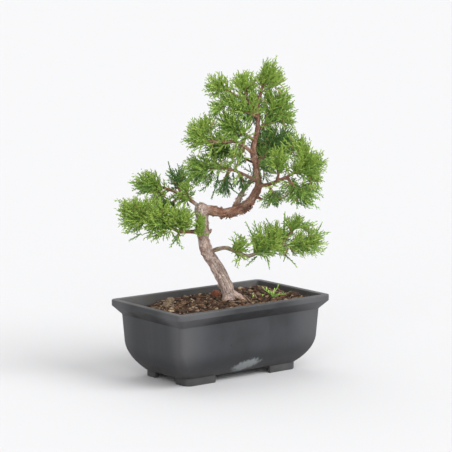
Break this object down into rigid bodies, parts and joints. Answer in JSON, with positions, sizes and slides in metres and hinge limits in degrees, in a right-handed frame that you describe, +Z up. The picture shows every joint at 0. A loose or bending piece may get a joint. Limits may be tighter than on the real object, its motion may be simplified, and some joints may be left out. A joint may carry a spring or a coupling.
{
  "type": "bonsai tree in a pot",
  "caption": "Young juniper bonsai with an S-bent trunk and cloud-like foliage, growing in bark soil in a rectangular footed plastic pot with an overhanging rim.",
  "frame": {"origin": "centre of the whole object's bounding box at ground level, which is the centre of the rectangular pot between its feet", "axes": "+Z up, +X along the pot's long side towards the end that the lowest branch reaches over, +Y across the pot"},
  "size_m": [0.2, 0.1609, 0.3267],
  "materials": {
    "pot_plastic": "moulded charcoal plastic, faintly mottled, with pale scuffs and rubbed edges",
    "screen_plastic": "black extruded plastic mesh",
    "bark_soil": "damp coarse bark and peat",
    "juniper_bark": "thin flaking bark, grey-pink on old wood and red-brown on young wood",
    "young_foliage": "soft scale leaves, bright yellow-green tips",
    "foliage": "soft scale leaves, mid green",
    "shaded_foliage": "older scale leaves, blue-green",
    "red_bark": "red-brown crumbly bark",
    "brown_stone": "dull brown stone",
    "pale_bark": "dry pale bark and wood fibre",
    "dark_bark": "dark damp bark",
    "straw": "dry straw",
    "weed_green": "fresh green seedling"
  },
  "bodies": {
    "root": {"pot": "pot_plastic", "drainage_mesh_left": "screen_plastic", "drainage_mesh_right": "screen_plastic", "soil": "bark_soil", "trunk": "juniper_bark", "foliage_left_tip": "young_foliage", "foliage_left_front": "young_foliage", "foliage_left_inner": "young_foliage", "foliage_left_high": "foliage", "foliage_left_back": "shaded_foliage", "foliage_left_behind": "shaded_foliage", "foliage_left_knuckle": "foliage", "foliage_trunk_tuft": "foliage", "foliage_crown_left_low": "foliage", "foliage_crown_hanging": "shaded_foliage", "foliage_crown_inner_low": "shaded_foliage", "foliage_crown_left_mid": "young_foliage", "foliage_crown_centre": "foliage", "foliage_crown_top_left": "young_foliage", "foliage_crown_top_middle": "young_foliage", "foliage_crown_left_upper": "foliage", "foliage_crown_front_upper": "foliage", "foliage_apex": "young_foliage", "foliage_crown_upper_right": "foliage", "foliage_crown_middle_right": "shaded_foliage", "foliage_crown_right": "young_foliage", "foliage_crown_right_inner": "young_foliage", "foliage_crown_right_low": "foliage", "foliage_crown_right_under": "shaded_foliage", "foliage_crown_back": "shaded_foliage", "foliage_crown_back_left": "shaded_foliage", "foliage_crown_back_top": "shaded_foliage", "foliage_right_low_inner": "young_foliage", "foliage_right_low_middle": "young_foliage", "foliage_right_low_outer": "young_foliage", "foliage_right_low_upper": "foliage", "foliage_right_low_back": "shaded_foliage", "red_bark_lump": "red_bark", "brown_stone": "brown_stone", "pale_chip_large": "pale_bark", "pale_chip_small": "pale_bark", "dark_chip_left": "dark_bark", "dark_chip_front": "dark_bark", "dark_chip_right": "dark_bark", "dark_chip_back": "dark_bark", "straw_long": "straw", "straw_short": "straw", "weed_sprig": "weed_green"}
  },
  "joints": []
}
